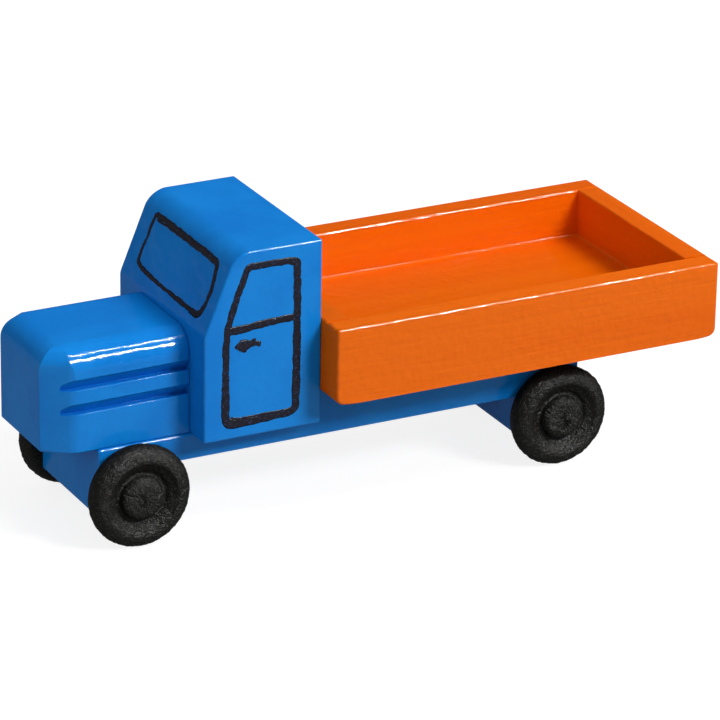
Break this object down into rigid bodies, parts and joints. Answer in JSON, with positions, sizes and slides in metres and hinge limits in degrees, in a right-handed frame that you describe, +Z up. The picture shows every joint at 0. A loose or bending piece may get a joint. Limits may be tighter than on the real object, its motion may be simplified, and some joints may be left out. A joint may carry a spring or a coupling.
{
  "type": "toy truck",
  "caption": "Painted wooden toy truck with a grooved bonnet, a solid cab with drawn windows, an open box bed and turned wheels that roll.",
  "frame": {"origin": "on the ground, under the middle of the truck's length and width", "axes": "+X points forward past the bonnet, +Y to the truck's left and +Z up; the wheels stand on z = 0"},
  "size_m": [0.112, 0.0422, 0.0463],
  "materials": {
    "blue_paint": "glossy blue brushed paint over softwood, with softened edges",
    "orange_paint": "glossy orange brushed paint over thin board",
    "black_paint": "black paint over turned wood, end grain showing on the hubs",
    "bare_dowel": "bare hardwood dowel, hidden between the wheels and their block"
  },
  "bodies": {
    "truck": {"chassis": "blue_paint", "bonnet": "blue_paint", "cab": "blue_paint", "bed_floor": "orange_paint", "bed_front_board": "orange_paint", "bed_tailboard": "orange_paint", "bed_left_side": "orange_paint", "bed_right_side": "orange_paint", "front_axle_block": "blue_paint", "rear_axle_block": "blue_paint"},
    "front_wheelset": {"front_axle": "bare_dowel", "front_left_wheel": "black_paint", "front_right_wheel": "black_paint"},
    "rear_wheelset": {"rear_axle": "bare_dowel", "rear_left_wheel": "black_paint", "rear_right_wheel": "black_paint"}
  },
  "joints": [
    {"name": "front_axle_roll", "type": "hinge", "parent": "truck", "child": "front_wheelset", "pos_m": [0.042, 0, 0.0084], "axis": [0, 1, 0], "continuous": true},
    {"name": "rear_axle_roll", "type": "hinge", "parent": "truck", "child": "rear_wheelset", "pos_m": [-0.0318, 0, 0.0084], "axis": [0, 1, 0], "continuous": true}
  ]
}
